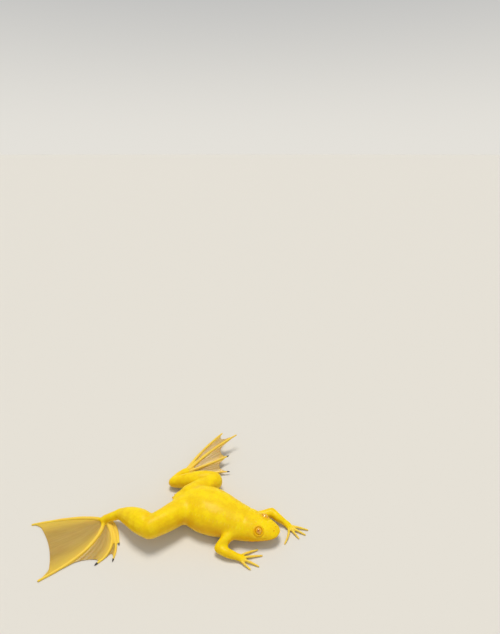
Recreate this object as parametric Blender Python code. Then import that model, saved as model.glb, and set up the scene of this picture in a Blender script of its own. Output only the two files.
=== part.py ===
"""An albino African clawed frog, life size, lying with one hind leg stretched back and one folded.

Lengths are in millimetres until a mesh is made, and the finished model is in metres, with Z up. While the
frog is modelled, X runs from the vent (0) to the snout tip, Y is to the frog's left and Z is the height above
the floor. At the end the whole frog is set with its bounding box centred over the origin.
"""

import math

import bmesh
import bpy
from mathutils import Matrix, Vector

MM = 0.001
GAP = 0.3

# Driving dimensions of the frog
SNOUT_VENT = 90.0
NECK_X = 63.0
EYE_RADIUS = 3.0
WEB_THICKNESS = 0.6
TOE_LENGTHS = {"1": 23.0, "2": 36.0, "3": 40.0, "4": 63.0, "5": 58.0}
TOE_RADII = {"1": 1.25, "2": 1.4, "3": 1.6, "4": 1.75, "5": 1.75}
CLAWED_TOES = ("1", "2", "3")
CLAW_LENGTH = 2.6
FINGER_LENGTH = 13.5
FINGER_RADII = (1.3, 0.55)
FINGER_HEIGHTS = (1.7, 0.6)

# Trunk and head: distance from the vent, half width, top height and underside height of each section
TRUNK_SECTIONS = [
    (-1.5, 2.4, 14.4, 10.6),
    (1.0, 5.0, 16.4, 7.6),
    (5.0, 9.6, 19.0, 3.6),
    (10.0, 14.0, 21.6, 1.2),
    (16.0, 17.8, 23.8, -0.3),
    (24.0, 20.2, 25.2, -1.0),
    (32.0, 20.6, 25.2, -1.2),
    (40.0, 19.4, 24.2, -1.2),
    (48.0, 17.4, 22.2, -0.9),
    (55.0, 15.8, 20.4, -0.4),
    (60.0, 14.9, 19.2, 0.2),
]
HEAD_SECTIONS = [
    (66.0, 14.0, 17.6, 1.0),
    (71.0, 13.0, 16.4, 2.0),
    (76.0, 11.6, 15.0, 3.0),
    (80.0, 10.1, 13.7, 3.9),
    (84.0, 8.3, 12.2, 4.8),
    (87.0, 6.3, 10.9, 5.6),
    (89.0, 4.0, 9.7, 6.4),
]
SNOUT_TIP = Vector((SNOUT_VENT, 0.0, 8.2))
TAIL_END = Vector((-2.2, 0.0, 12.8))
WIDEST_SHARE = 0.42
TRUNK_SIDES = 32
ROUNDNESS = 2.2
SPINE_BOW = 1.8
BOW_START = 12.0
BOW_LENGTH = 80.0

FLESH = ("flesh", (0.93, 0.66, 0.06, 1.0), 0.42)
EYE = ("eye", (0.78, 0.22, 0.05, 1.0), 0.12)
CLAW = ("claw", (0.035, 0.026, 0.022, 1.0), 0.35)


def clear_scene():
    for obj in list(bpy.data.objects):
        bpy.data.objects.remove(obj, do_unlink=True)


def material(finish):
    name, colour, roughness = finish
    made = bpy.data.materials.get(name) or bpy.data.materials.new(name)
    made.use_nodes = True
    shader = made.node_tree.nodes["Principled BSDF"]
    shader.inputs["Base Color"].default_value = colour
    shader.inputs["Roughness"].default_value = roughness
    shader.inputs["Metallic"].default_value = 0.0
    return made


def object_from(bm, name, finish):
    """A named object in metres, with its faces pointing out and nothing of it below the floor."""
    for vert in bm.verts:
        vert.co.z = max(vert.co.z, 0.0)
        vert.co *= MM
    bmesh.ops.triangulate(bm, faces=[f for f in bm.faces if len(f.verts) > 4])
    bmesh.ops.recalc_face_normals(bm, faces=bm.faces)
    mesh = bpy.data.meshes.new(name)
    bm.to_mesh(mesh)
    bm.free()
    obj = bpy.data.objects.new(name, mesh)
    bpy.context.scene.collection.objects.link(obj)
    mesh.materials.append(material(finish))
    return obj


def on_curve(around, t):
    """The tuple at share t between the second and third of four tuples, on a Catmull-Rom curve."""
    return tuple(
        0.5 * (2 * q + (r - p) * t + (2 * p - 5 * q + 4 * r - s) * t * t + (3 * q - p - 3 * r + s) * t**3)
        for p, q, r, s in zip(*around)
    )


def curve_through(points, count):
    """Evenly counted points on a curve through tuples of any length."""
    padded = [points[0], *points, points[-1]]
    spans = len(points) - 1
    made = []
    for i in range(count):
        place = i / (count - 1) * spans
        span = min(int(place), spans - 1)
        made.append(on_curve(padded[span : span + 4], place - span))
    return made


def loft(name, rings, start, end, finish):
    """A closed skin over rings of equal count. start and end are a pole's place, or None for a flat end."""
    bm = bmesh.new()
    rows = [[bm.verts.new(place) for place in ring] for ring in rings]
    sides = len(rows[0])
    for one, two in zip(rows, rows[1:]):
        for i in range(sides):
            j = (i + 1) % sides
            bm.faces.new((one[i], one[j], two[j], two[i]))
    for row, pole in ((rows[0], start), (rows[-1], end)):
        if pole is None:
            bm.faces.new(row)
            continue
        top = bm.verts.new(pole)
        for i in range(sides):
            bm.faces.new((row[i], row[(i + 1) % sides], top))
    return object_from(bm, name, finish)


def bow(x):
    """How far the spine bows to the frog's right at x."""
    return -SPINE_BOW * math.sin(math.pi * min(max((x - BOW_START) / BOW_LENGTH, 0.0), 1.0))


def trunk_ring(section):
    """One upright section across X: flatter below its widest line than above it."""
    x, half, top, under = section
    widest = under + WIDEST_SHARE * (top - under)
    ring = []
    for i in range(TRUNK_SIDES):
        angle = 2 * math.pi * i / TRUNK_SIDES
        c, s = math.cos(angle), math.sin(angle)
        reach = (top - widest) if s > 0 else (widest - under)
        y = bow(x) + half * math.copysign(abs(c) ** (2 / ROUNDNESS), c)
        z = widest + reach * math.copysign(abs(s) ** (2 / ROUNDNESS), s)
        ring.append(Vector((x, y, z)))
    return ring


def body_section(x):
    """The trunk or head section at x, read from the curve through the named ones."""
    named = TRUNK_SECTIONS + HEAD_SECTIONS
    for low, high in zip(named, named[1:]):
        if low[0] <= x <= high[0]:
            break
    index = named.index(low)
    around = [named[max(index - 1, 0)], low, high, named[min(index + 2, len(named) - 1)]]
    return (x, *on_curve(around, (x - low[0]) / (high[0] - low[0]))[1:])


def skin_point(x, y, side=1):
    """The point of the trunk's or head's surface at x and y: its upper side, or its underside for side -1."""
    _, half, top, under = body_section(x)
    widest = under + WIDEST_SHARE * (top - under)
    share = (1 - min(abs(y) / half, 1) ** ROUNDNESS) ** (1 / ROUNDNESS)
    return Vector((x, y + bow(x), widest + side * share * (top - widest if side > 0 else widest - under)))


def tube(name, points, count, sides, finish=FLESH, round_start=True, round_end=True):
    """A limb or digit. Each control point is x, y, z, half width across and half height."""
    samples = curve_through(points, count)
    places = [Vector(s[:3]) for s in samples]
    rings = []
    ends = []
    for i, sample in enumerate(samples):
        ahead = (places[min(i + 1, count - 1)] - places[max(i - 1, 0)]).normalized()
        across = ahead.cross(Vector((0, 0, 1))).normalized()
        above = across.cross(ahead)
        rings.append((places[i], ahead, across, above, sample[3], sample[4]))
    made = []
    caps = 3
    for i, (place, ahead, across, above, wide, high) in enumerate(rings):
        first, last = i == 0, i == count - 1
        turns = [(1.0, 0.0)]
        if (first and round_start) or (last and round_end):
            turns = [
                (math.cos(k / caps * math.pi / 2), math.sin(k / caps * math.pi / 2))
                for k in range(caps)
            ]
            reach = min(wide, high) * (-1 if first else 1)
            ends.append(place + ahead * reach)
            turns = turns[::-1] if first else turns
        else:
            reach = 0.0
            if first or last:
                ends.append(None)
        for shrink, out in turns:
            centre = place + ahead * (reach * out)
            made.append(
                [
                    centre
                    + across * (wide * shrink * math.cos(2 * math.pi * j / sides))
                    + above * (high * shrink * math.sin(2 * math.pi * j / sides))
                    for j in range(sides)
                ]
            )
    return loft(name, made, ends[0], ends[1], finish)


def apply_boolean(obj, other, operation):
    modifier = obj.modifiers.new(operation.lower(), "BOOLEAN")
    modifier.operation = operation
    modifier.solver = "EXACT"
    modifier.object = other
    bpy.context.view_layer.update()
    graph = bpy.context.evaluated_depsgraph_get()
    result = bpy.data.meshes.new_from_object(obj.evaluated_get(graph))
    obj.modifiers.clear()
    obj.data = result
    bpy.data.objects.remove(other, do_unlink=True)


def keep_largest(obj):
    """Only the largest closed surface stays."""
    bm = bmesh.new()
    bm.from_mesh(obj.data)
    left = set(bm.verts)
    groups = []
    while left:
        stack = [left.pop()]
        group = []
        while stack:
            vert = stack.pop()
            group.append(vert)
            near = [edge.other_vert(vert) for edge in vert.link_edges]
            stack += [v for v in near if v in left]
            left.difference_update(near)
        groups.append(group)
    groups.sort(key=len)
    for group in groups[:-1]:
        bmesh.ops.delete(bm, geom=group, context="VERTS")
    bm.to_mesh(obj.data)
    bm.free()


def grown(obj, by=GAP):
    """A copy of an object that is larger all round by the gap between nodes."""
    copy = bpy.data.objects.new("grown", obj.data.copy())
    bpy.context.scene.collection.objects.link(copy)
    bm = bmesh.new()
    bm.from_mesh(copy.data)
    bmesh.ops.remove_doubles(bm, verts=bm.verts, dist=0.01 * MM)
    bm.normal_update()
    moves = [vert.normal * (by * MM) for vert in bm.verts]
    for vert, move in zip(bm.verts, moves):
        vert.co += move
    bm.to_mesh(copy.data)
    bm.free()
    return copy


def fit_against(obj, *neighbours):
    """Cuts an object back so that it meets its neighbours face to face, a gap away."""
    for neighbour in neighbours:
        apply_boolean(obj, grown(neighbour), "DIFFERENCE")
    keep_largest(obj)


def join_pieces(obj, pieces):
    """One Boolean union of closed pieces with an object."""
    group = bpy.data.collections.new("pieces")
    bpy.context.scene.collection.children.link(group)
    for piece in pieces:
        group.objects.link(piece)
    modifier = obj.modifiers.new("join", "BOOLEAN")
    modifier.operation = "UNION"
    modifier.solver = "EXACT"
    modifier.operand_type = "COLLECTION"
    modifier.collection = group
    bpy.context.view_layer.update()
    graph = bpy.context.evaluated_depsgraph_get()
    result = bpy.data.meshes.new_from_object(obj.evaluated_get(graph))
    obj.modifiers.clear()
    obj.data = result
    for piece in pieces:
        bpy.data.objects.remove(piece, do_unlink=True)
    bpy.data.collections.remove(group)
    keep_largest(obj)


# Trunk
def make_torso():
    xs = [x for x, *_ in TRUNK_SECTIONS]
    steps = []
    for low, high in zip(xs, xs[1:] + [NECK_X]):
        steps += [low, (low + high) / 2]
    rings = [trunk_ring(body_section(x)) for x in steps + [NECK_X]]
    return loft("torso", rings, TAIL_END, None, FLESH)


# Head, with eye sockets, lid rings, nostrils and the line of the mouth
EYE_X = 75.6
EYE_Y = 7.8
EYE_LOOK = Vector((0.16, 0.60, 0.78)).normalized()
EYE_SINK = 1.7
LID_RADIUS = 3.15
LID_THICKNESS = 0.75
LID_RAISE = 0.75
NOSTRIL_X = 86.2
NOSTRIL_Y = 2.4
NOSTRIL_RADIUS = 0.55
MOUTH_CORNER_X = 69.5
MOUTH_FRONT_X = 88.6
MOUTH_SHARE = 0.30
MOUTH_RADIUS = 0.5


def eye_centre(side):
    surface = skin_point(EYE_X, side * EYE_Y)
    look = Vector((EYE_LOOK.x, side * EYE_LOOK.y, EYE_LOOK.z))
    return surface - look * EYE_SINK, look


def ball(name, centre, radius, finish, segments=16, rings=10):
    bm = bmesh.new()
    bmesh.ops.create_uvsphere(bm, u_segments=segments, v_segments=rings, radius=radius)
    bmesh.ops.translate(bm, verts=bm.verts, vec=centre)
    return object_from(bm, name, finish)


def lid(side):
    """The raised rim of skin round an eye."""
    centre, look = eye_centre(side)
    turn = look.to_track_quat("Z", "Y").to_matrix()
    bm = bmesh.new()
    around, section = 20, 8
    rows = []
    for i in range(around):
        a = 2 * math.pi * i / around
        out = Vector((math.cos(a), math.sin(a), 0.0))
        row = []
        for j in range(section):
            b = 2 * math.pi * j / section
            place = out * (LID_RADIUS + LID_THICKNESS * math.cos(b))
            place.z = LID_RAISE + LID_THICKNESS * 0.9 * math.sin(b)
            row.append(bm.verts.new(centre + turn @ place))
        rows.append(row)
    for i in range(around):
        one, two = rows[i], rows[(i + 1) % around]
        for j in range(section):
            k = (j + 1) % section
            bm.faces.new((one[j], one[k], two[k], two[j]))
    return object_from(bm, "lid", FLESH)


def mouth_cutter():
    """A thin bow that follows the upper lip from one corner of the mouth round the snout to the other."""
    steps = 9
    half_bow = []
    for i in range(steps):
        x = MOUTH_CORNER_X + (MOUTH_FRONT_X - MOUTH_CORNER_X) * i / (steps - 1)
        _, half, top, under = body_section(x)
        widest = under + WIDEST_SHARE * (top - under)
        z = under + MOUTH_SHARE * (top - under)
        share = (1 - ((widest - z) / (widest - under)) ** ROUNDNESS) ** (1 / ROUNDNESS)
        half_bow.append((x, half * share, z))
    left = [(x, bow(x) + y, z, MOUTH_RADIUS, MOUTH_RADIUS) for x, y, z in half_bow]
    right = [(x, bow(x) - y, z, MOUTH_RADIUS, MOUTH_RADIUS) for x, y, z in reversed(half_bow)]
    tip = (SNOUT_VENT - 0.3, 0.0, half_bow[-1][2], MOUTH_RADIUS, MOUTH_RADIUS)
    return tube("mouth_line", left + [tip] + right, 2 * steps + 7, 6)


def make_head():
    xs = [x for x, *_ in HEAD_SECTIONS]
    steps = [NECK_X + GAP]
    for low, high in zip([NECK_X + GAP, *xs], xs):
        steps += [(low + high) / 2, high]
    rings = [trunk_ring(body_section(x)) for x in steps]
    rings.append(trunk_ring((SNOUT_VENT - 0.25, 1.9, 9.0, 7.4)))
    head = loft("head", rings, None, SNOUT_TIP, FLESH)
    join_pieces(head, [lid(1), lid(-1)])
    for side in (1, -1):
        centre, _ = eye_centre(side)
        apply_boolean(head, ball("socket", centre, EYE_RADIUS + GAP, FLESH), "DIFFERENCE")
        nostril = skin_point(NOSTRIL_X, side * NOSTRIL_Y)
        pit = ball("pit", nostril, NOSTRIL_RADIUS, FLESH, 8, 6)
        apply_boolean(head, pit, "DIFFERENCE")
    apply_boolean(head, mouth_cutter(), "DIFFERENCE")
    keep_largest(head)
    return head


def make_eye(name, side):
    centre, _ = eye_centre(side)
    return ball(name, centre, EYE_RADIUS, EYE, 20, 12)


# Limbs: the joints' places, with the limb's half width and half height there
RIGHT_THIGH = [(11.0, -8.0, 12.8, 11.6, 9.4), (4.2, -24.0, 14.2, 10.0, 9.4), (-3.2, -37.4, 15.4, 8.7, 8.5)]
RIGHT_SHANK = [
    (-3.6, -37.4, 15.2, 8.5, 8.3),
    (-14.0, -34.2, 14.6, 9.2, 9.0),
    (-25.5, -31.4, 12.8, 7.6, 7.4),
    (-36.4, -30.0, 10.4, 4.6, 4.5),
]
LEFT_THIGH = [(8.0, 6.0, 12.5, 9.6, 9.0), (12.5, 20.0, 9.8, 8.8, 8.4), (17.8, 33.4, 7.9, 7.8, 7.6)]
LEFT_SHANK = [
    (17.0, 34.0, 8.4, 7.9, 7.8),
    (7.0, 30.6, 8.8, 8.3, 8.1),
    (-6.0, 26.0, 7.4, 6.9, 6.7),
    (-17.4, 21.6, 5.8, 4.7, 4.6),
]
RIGHT_UPPER_ARM = [(56.0, -11.5, 10.0, 5.2, 5.0), (53.0, -20.0, 8.0, 4.5, 4.4), (49.9, -27.2, 5.2, 4.0, 4.0)]
RIGHT_FOREARM = [(50.0, -27.6, 5.0, 3.9, 3.9), (57.0, -28.2, 4.4, 3.7, 3.6), (65.4, -27.6, 2.9, 2.7, 2.5)]
LEFT_UPPER_ARM = [(60.0, 9.2, 5.6, 4.6, 4.3), (69.0, 13.8, 5.0, 4.0, 3.8), (77.2, 19.5, 6.3, 3.9, 3.8)]
LEFT_FOREARM = [(77.7, 19.4, 6.2, 3.8, 3.7), (83.2, 17.1, 5.0, 3.4, 3.3), (89.2, 16.2, 3.2, 2.7, 2.5)]


DIGIT_TAPER = 1.3
DIGIT_FLATNESS = 0.92

# Hands: a flat palm and four bare, tapered fingers
RIGHT_HAND = {
    "palm": [(65.8, -27.5, 2.8, 2.9, 2.3), (68.8, -27.0, 2.3, 3.6, 2.0), (71.4, -26.2, 1.7, 3.0, 1.5)],
    "fingers": [
        ((67.8, -24.2), 54.0, -12.0, 1.0),
        ((70.4, -25.2), 34.0, -4.0, 1.0),
        ((71.6, -27.2), 0.0, -4.0, 0.82),
        ((70.0, -29.2), -28.0, 10.0, 0.62),
    ],
}
LEFT_HAND = {
    "palm": [(89.6, 16.1, 3.0, 2.9, 2.3), (92.6, 15.2, 2.4, 3.6, 2.0), (95.2, 14.4, 1.8, 3.0, 1.5)],
    "fingers": [
        ((94.0, 12.2), -66.0, -30.0, 1.05),
        ((95.8, 12.8), -38.0, 4.0, 0.72),
        ((96.4, 14.0), -10.0, 2.0, 0.85),
        ((95.8, 15.8), 12.0, -6.0, 0.95),
    ],
}


def arc_points(start, heading, bend, length, heights, radii, steps, late=0.0):
    """Points of a digit that sets out at a heading in degrees and turns by bend along its length.

    It turns most near its root, or, for late at 1, most near its tip.
    """
    x, y = start
    points = []
    for i in range(steps):
        t = i / (steps - 1)
        z = heights[0] + (heights[1] - heights[0]) * (1 - (1 - t) ** 2)
        radius = radii[0] + (radii[1] - radii[0]) * t**DIGIT_TAPER
        points.append((x, y, z, radius, radius * DIGIT_FLATNESS))
        ahead = t + 0.5 / (steps - 1)
        turn = math.radians(heading + bend * ahead * ((2 - ahead) * (1 - late) + ahead * late))
        x += length / (steps - 1) * math.cos(turn)
        y += length / (steps - 1) * math.sin(turn)
    return points


def make_hand(name, plan):
    hand = tube(name, plan["palm"], 7, 12)
    fingers = []
    for i, (start, heading, bend, share) in enumerate(plan["fingers"]):
        length = FINGER_LENGTH * share
        points = arc_points(start, heading, bend, length, FINGER_HEIGHTS, FINGER_RADII, 5)
        fingers.append(tube(f"finger_{i}", points, 7, 8))
    join_pieces(hand, fingers)
    return hand


# Feet: an ankle, five toes with a claw on each inner three, and a web between each pair of toes
RIGHT_FOOT = {
    "ankle": [(-36.6, -30.0, 10.2, 4.4, 4.3), (-44.0, -32.2, 6.6, 3.8, 3.4), (-51.0, -34.2, 3.2, 4.2, 2.5)],
    "toes": {
        "5": ((-51.5, -34.4), -176.0, 30.0, 0.0, (2.6, 0.6)),
        "4": ((-49.5, -35.6), -60.0, -60.0, 0.0, (2.6, 0.6)),
        "3": ((-46.8, -35.2), -32.0, -86.0, 0.9, (2.6, 0.6)),
        "2": ((-45.6, -34.2), -33.0, -40.0, 0.9, (2.4, 0.5)),
        "1": ((-44.6, -33.0), -14.0, -36.0, 0.0, (2.4, 0.4)),
    },
}
LEFT_FOOT = {
    "ankle": [(-17.8, 21.8, 5.6, 4.4, 4.3), (-16.8, 31.0, 5.6, 3.9, 3.4), (-14.0, 39.0, 5.2, 4.4, 2.6)],
    "toes": {
        "5": ((-14.6, 39.0), 82.0, -6.0, 0.0, (5.0, 12.5)),
        "4": ((-13.0, 39.6), 70.0, -6.0, 0.0, (5.0, 13.5)),
        "3": ((-12.0, 39.4), 44.0, 14.0, 0.9, (4.8, 7.5)),
        "2": ((-11.4, 38.6), 24.0, 4.0, 0.0, (4.2, 3.0)),
        "1": ((-11.0, 37.6), 12.0, 4.0, 0.0, (3.6, 1.4)),
    },
}
TOE_STEPS = 9
TOE_TIP_SHARE = 0.5

# Webs: the two toes, and the share of each toe's length that the web reaches between them. Beside each toe
# it runs on as a narrow fringe, almost to the tip.
WEBS = (
    ("1", "2", 0.86, 0.66),
    ("2", "3", 0.90, 0.84),
    ("3", "4", 0.92, 0.70),
    ("4", "5", 0.90, 0.92),
)
WEB_START = 0.04
FRINGE_REACH = 0.96
FRINGE_WIDTH = 2.4
WEB_SHARES = (0.0, 0.06, 0.16, 0.5, 0.84, 0.94, 1.0)
WEB_ROWS = 9
WEB_SAG = 0.25
WEB_NOTCH = 0.07


def toe_points(foot, number):
    start, heading, bend, late, heights = foot["toes"][number]
    root = TOE_RADII[number]
    radii = (root, root * TOE_TIP_SHARE)
    return arc_points(start, heading, bend, TOE_LENGTHS[number], heights, radii, TOE_STEPS, late)


def place_on(curve, share):
    """The place at a share of the length of a finely counted curve."""
    at = share * (len(curve) - 1)
    low = min(int(at), len(curve) - 2)
    return Vector(curve[low][:3]).lerp(Vector(curve[low + 1][:3]), at - low)


def make_web(one, two, reach_one, reach_two):
    """The membrane between two toes: its free edge is a shallow bow between the fringes of their tips."""
    first = curve_through(one, 40)
    second = curve_through(two, 40)
    span = (place_on(first, reach_one) - place_on(second, reach_two)).length
    bm = bmesh.new()
    layers = []
    for offset in (WEB_THICKNESS / 2, -WEB_THICKNESS / 2):
        rows = []
        for i in range(WEB_ROWS):
            row = []
            for s in WEB_SHARES:
                hang = 4 * s * (1 - s)
                reach = reach_one + (reach_two - reach_one) * s - WEB_NOTCH * hang
                reach += (FRINGE_REACH - reach_one) * math.exp(-((s * span / FRINGE_WIDTH) ** 2))
                reach += (FRINGE_REACH - reach_two) * math.exp(-(((1 - s) * span / FRINGE_WIDTH) ** 2))
                t = WEB_START + (reach - WEB_START) * i / (WEB_ROWS - 1)
                place = place_on(first, t).lerp(place_on(second, t), s)
                place.z += offset - WEB_SAG * hang
                row.append(bm.verts.new(place))
            rows.append(row)
        layers.append(rows)
    last = len(WEB_SHARES) - 1
    for rows in layers:
        for i in range(WEB_ROWS - 1):
            for j in range(last):
                a, b = rows[i][j], rows[i][j + 1]
                c, d = rows[i + 1][j + 1], rows[i + 1][j]
                bm.faces.new((a, b, c))
                bm.faces.new((a, c, d))
    top, low = layers
    rim = [(0, j) for j in range(last)]
    rim += [(i, last) for i in range(WEB_ROWS - 1)]
    rim += [(WEB_ROWS - 1, j) for j in range(last, 0, -1)]
    rim += [(i, 0) for i in range(WEB_ROWS - 1, 0, -1)]
    for (i, j), (k, m) in zip(rim, rim[1:] + rim[:1]):
        bm.faces.new((top[i][j], top[k][m], low[k][m], low[i][j]))
    return object_from(bm, "web", FLESH)


def make_foot(name, foot):
    made = tube(name, foot["ankle"], 8, 12)
    toes = {number: toe_points(foot, number) for number in TOE_LENGTHS}
    pieces = []
    for number, points in toes.items():
        clawed = number in CLAWED_TOES
        pieces.append(tube(f"toe_{number}", points, 12, 8, round_end=not clawed))
    for one, two, reach_one, reach_two in WEBS:
        pieces.append(make_web(toes[one], toes[two], reach_one, reach_two))
    join_pieces(made, pieces)
    return made


def make_claw(name, foot, number):
    """A dark horn cap that carries on from the flat end of its toe and dips a little at its point."""
    points = toe_points(foot, number)
    tip = Vector(points[-1][:3])
    ahead = (tip - Vector(points[-2][:3])).normalized()
    radius = points[-1][3]
    start = tip + ahead * GAP
    down = Vector((0, 0, -1))
    profile = []
    for t, share in ((0.0, 1.05), (0.35, 0.9), (0.7, 0.58), (1.0, 0.16)):
        place = start + ahead * (CLAW_LENGTH * t) + down * (0.35 * t * t)
        profile.append((*place, radius * share, radius * share))
    return tube(name, profile, 5, 8, CLAW, round_start=False, round_end=True)


def centre_over_origin():
    """Sets the frog with its bounding box centred over the origin, resting on Z = 0."""
    corners = [v.co for obj in bpy.context.scene.objects for v in obj.data.vertices]
    middle = Vector(
        (
            (min(c.x for c in corners) + max(c.x for c in corners)) / 2,
            (min(c.y for c in corners) + max(c.y for c in corners)) / 2,
            0.0,
        )
    )
    for obj in bpy.context.scene.objects:
        obj.data.transform(Matrix.Translation(-middle))


def main():
    clear_scene()
    torso = make_torso()
    head = make_head()
    make_eye("eye_left", 1)
    make_eye("eye_right", -1)

    legs = (
        ("left", LEFT_THIGH, LEFT_SHANK, LEFT_FOOT),
        ("right", RIGHT_THIGH, RIGHT_SHANK, RIGHT_FOOT),
    )
    rump = [torso]
    for side, thigh_points, shank_points, foot_plan in legs:
        thigh = tube(f"thigh_{side}", thigh_points, 10, 18)
        fit_against(thigh, *rump)
        rump.append(thigh)
        shank = tube(f"shank_{side}", shank_points, 12, 16)
        fit_against(shank, thigh, torso)
        foot = make_foot(f"foot_{side}", foot_plan)
        fit_against(foot, shank)
        for number in CLAWED_TOES:
            make_claw(f"claw_{side}_{number}", foot_plan, number)

    arms = (
        ("left", LEFT_UPPER_ARM, LEFT_FOREARM, LEFT_HAND),
        ("right", RIGHT_UPPER_ARM, RIGHT_FOREARM, RIGHT_HAND),
    )
    for side, upper_points, fore_points, hand_plan in arms:
        upper = tube(f"upper_arm_{side}", upper_points, 8, 14)
        fit_against(upper, torso, head)
        fore = tube(f"forearm_{side}", fore_points, 8, 14)
        fit_against(fore, upper, head)
        hand = make_hand(f"hand_{side}", hand_plan)
        fit_against(hand, fore)

    centre_over_origin()


main()
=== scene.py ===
import math

import bmesh
import bpy
import numpy as np
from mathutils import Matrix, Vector, noise


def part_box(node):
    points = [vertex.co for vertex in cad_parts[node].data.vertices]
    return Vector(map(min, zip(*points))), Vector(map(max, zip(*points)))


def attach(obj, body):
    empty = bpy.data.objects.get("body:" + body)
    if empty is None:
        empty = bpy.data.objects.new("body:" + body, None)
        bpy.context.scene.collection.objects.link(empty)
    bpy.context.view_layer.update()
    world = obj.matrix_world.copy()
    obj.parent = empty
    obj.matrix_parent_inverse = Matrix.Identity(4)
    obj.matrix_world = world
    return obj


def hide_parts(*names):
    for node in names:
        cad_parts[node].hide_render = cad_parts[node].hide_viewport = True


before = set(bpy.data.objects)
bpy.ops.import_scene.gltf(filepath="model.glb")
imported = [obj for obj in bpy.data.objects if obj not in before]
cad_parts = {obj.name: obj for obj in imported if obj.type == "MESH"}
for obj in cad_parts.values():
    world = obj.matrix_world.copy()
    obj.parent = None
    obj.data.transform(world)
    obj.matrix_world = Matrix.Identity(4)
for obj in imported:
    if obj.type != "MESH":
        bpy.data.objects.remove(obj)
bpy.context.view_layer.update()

MM = 0.001

# The frog's own measure: X from the vent (0) to the snout tip (90), Y to its left, Z up from the floor, in mm
SNOUT_VENT = 90.0
SPINE_BOW = 1.8
BOW_START = 12.0
BOW_LENGTH = 80.0
EYE_X = 75.6
EYE_LOOK = Vector((0.16, 0.60, 0.78)).normalized()


def bow(x):
    """How far the spine bows to the frog's right at x."""
    return -SPINE_BOW * math.sin(math.pi * min(max((x - BOW_START) / BOW_LENGTH, 0.0), 1.0))


def bow_at(x):
    """The same for an array of places."""
    xs = np.linspace(-5, 95, 101)
    return np.interp(x, xs, [bow(value) for value in xs])


def box_mm(node):
    low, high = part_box(node)
    return low / MM, high / MM


def middle(node):
    low, high = box_mm(node)
    return (low + high) / 2


SHIFT = Vector((
    SNOUT_VENT - box_mm("head")[1].x,
    bow(EYE_X) - (middle("eye_left").y + middle("eye_right").y) / 2,
    0.0,
))


def at(x, y, z):
    """A place in the frog's own measure as a place in the frame, in metres."""
    return (Vector((x, y, z)) - SHIFT) * MM


# Small helpers


def deselect():
    for obj in bpy.context.selected_objects:
        obj.select_set(False)


def choose(obj):
    deselect()
    obj.select_set(True)
    bpy.context.view_layer.objects.active = obj


def apply_modifier(obj, kind, **settings):
    choose(obj)
    modifier = obj.modifiers.new(kind.title(), kind)
    for name, value in settings.items():
        setattr(modifier, name, value)
    bpy.ops.object.modifier_apply(modifier=modifier.name)


def object_of(mesh, name):
    obj = bpy.data.objects.new(name, mesh)
    bpy.context.scene.collection.objects.link(obj)
    return obj


def object_from(bm, name):
    mesh = bpy.data.meshes.new(name)
    bm.to_mesh(mesh)
    bm.free()
    return object_of(mesh, name)


def copy_of_node(name):
    """A merged copy of a CAD node's mesh, to be shaped further."""
    bm = bmesh.new()
    bm.from_mesh(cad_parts[name].data)
    bmesh.ops.remove_doubles(bm, verts=bm.verts, dist=0.005 * MM)
    return object_from(bm, name + "_skin")


def curve_through(points, count):
    """Evenly counted points on a Catmull-Rom curve through tuples of any length."""
    points = np.array(points, float)
    padded = np.vstack([points[:1], points, points[-1:]])
    spans = len(points) - 1
    place = np.linspace(0, spans, count)
    span = np.minimum(place.astype(int), spans - 1)
    t = (place - span)[:, None]
    p, q, r, s = (padded[span + k] for k in range(4))
    return 0.5 * (2 * q + (r - p) * t + (2 * p - 5 * q + 4 * r - s) * t**2 + (3 * q - p - 3 * r + s) * t**3)


def tube(name, points, count, sides=20):
    """A closed rounded tube. Each control point is x, y, z, half width across and half height, in mm."""
    samples = curve_through(points, count)
    places = samples[:, :3]
    rings = []
    caps = 4
    ends = []
    for i, (x, y, z, wide, high) in enumerate(samples):
        ahead = Vector(places[min(i + 1, count - 1)] - places[max(i - 1, 0)]).normalized()
        across = ahead.cross(Vector((0, 0, 1))).normalized()
        above = across.cross(ahead)
        first, last = i == 0, i == count - 1
        turns = [(1.0, 0.0)]
        reach = 0.0
        if first or last:
            angles = [k / caps * math.pi / 2 for k in range(caps)]
            turns = [(math.cos(a), math.sin(a)) for a in angles]
            turns = turns[::-1] if first else turns
            reach = min(wide, high) * (-1 if first else 1)
            ends.append(Vector((x, y, z)) + ahead * reach)
        for shrink, out in turns:
            centre = Vector((x, y, z)) + ahead * (reach * out)
            rings.append([
                centre
                + across * (wide * shrink * math.cos(2 * math.pi * j / sides))
                + above * (high * shrink * math.sin(2 * math.pi * j / sides))
                for j in range(sides)
            ])
    bm = bmesh.new()
    rows = [[bm.verts.new(at(*place)) for place in ring] for ring in rings]
    for one, two in zip(rows, rows[1:]):
        for j in range(sides):
            k = (j + 1) % sides
            bm.faces.new((one[j], one[k], two[k], two[j]))
    for row, end in ((rows[0], ends[0]), (rows[-1], ends[1])):
        pole = bm.verts.new(at(*end))
        for j in range(sides):
            bm.faces.new((row[j], row[(j + 1) % sides], pole))
    bmesh.ops.recalc_face_normals(bm, faces=bm.faces)
    return object_from(bm, name)


def lump(name, place, size, turn=0.0):
    """A mound of flesh: a ball squashed to three half sizes in mm and turned about the vertical."""
    deselect()
    bpy.ops.mesh.primitive_uv_sphere_add(segments=32, ring_count=20, radius=1.0)
    obj = bpy.context.object
    obj.name = name
    for vert in obj.data.vertices:
        x, y, z = (a * b for a, b in zip(vert.co, size))
        c, s = math.cos(math.radians(turn)), math.sin(math.radians(turn))
        vert.co = at(place[0] + c * x - s * y, place[1] + s * x + c * y, place[2] + z)
    return obj


# Hands and feet, laid out as in the solids


DIGIT_TAPER = 1.3
DIGIT_FLATNESS = 0.92


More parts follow.
